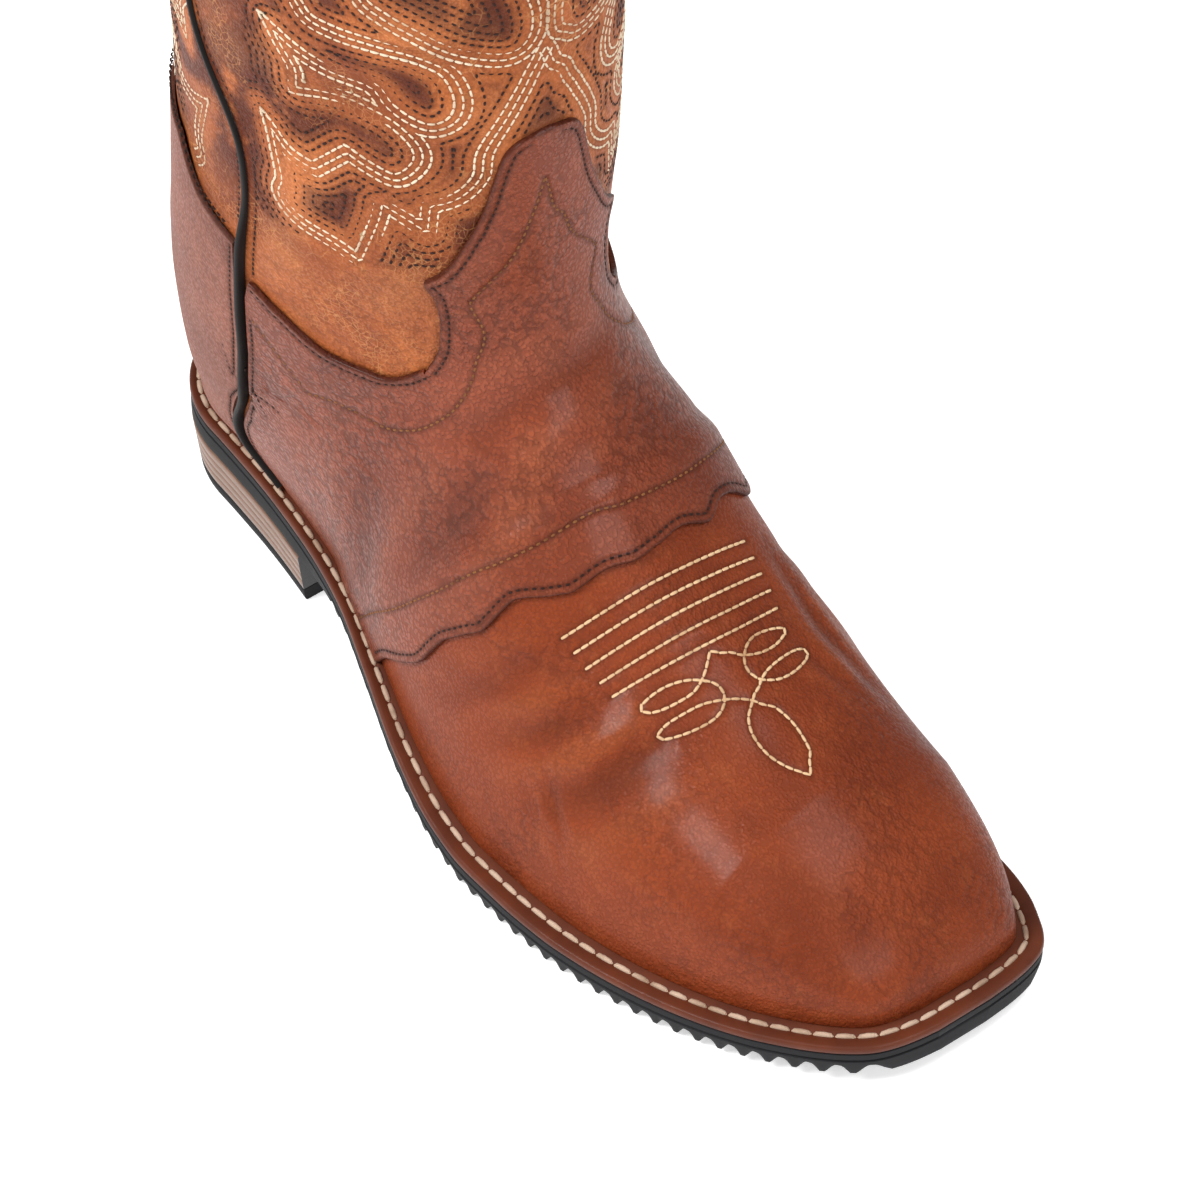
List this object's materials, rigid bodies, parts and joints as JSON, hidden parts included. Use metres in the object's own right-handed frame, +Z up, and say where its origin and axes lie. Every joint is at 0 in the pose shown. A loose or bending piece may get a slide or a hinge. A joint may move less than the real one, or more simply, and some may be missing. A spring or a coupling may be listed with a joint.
{
  "type": "western boot",
  "caption": "Right western boot, open hollow shaft, overlaid toe, instep and counter, welted ribbed sole and low stacked heel.",
  "frame": {"origin": "on the floor under the middle of the heel", "axes": "+Z up, -Y towards the toe, -X towards the lateral side of this right boot"},
  "size_m": [0.1149, 0.306, 0.3238],
  "materials": {
    "shaft_leather": "distressed waxed leather",
    "vamp_leather": "burnished glossy leather",
    "saddle_leather": "burnished tumbled leather",
    "counter_leather": "waxed leather",
    "piping": "satin black cord cover",
    "welt_leather": "satin",
    "insole_leather": "matte",
    "heel_leather": "stacked layers, matte",
    "sole_rubber": "matte black"
  },
  "bodies": {
    "root": {"upper": "shaft_leather", "vamp": "vamp_leather", "saddle": "saddle_leather", "counter": "counter_leather", "side_seam_lateral": "piping", "side_seam_medial": "piping", "welt": "welt_leather", "insole": "insole_leather", "outsole": "sole_rubber", "heel_block": "heel_leather", "heel_lift": "sole_rubber"}
  },
  "joints": []
}
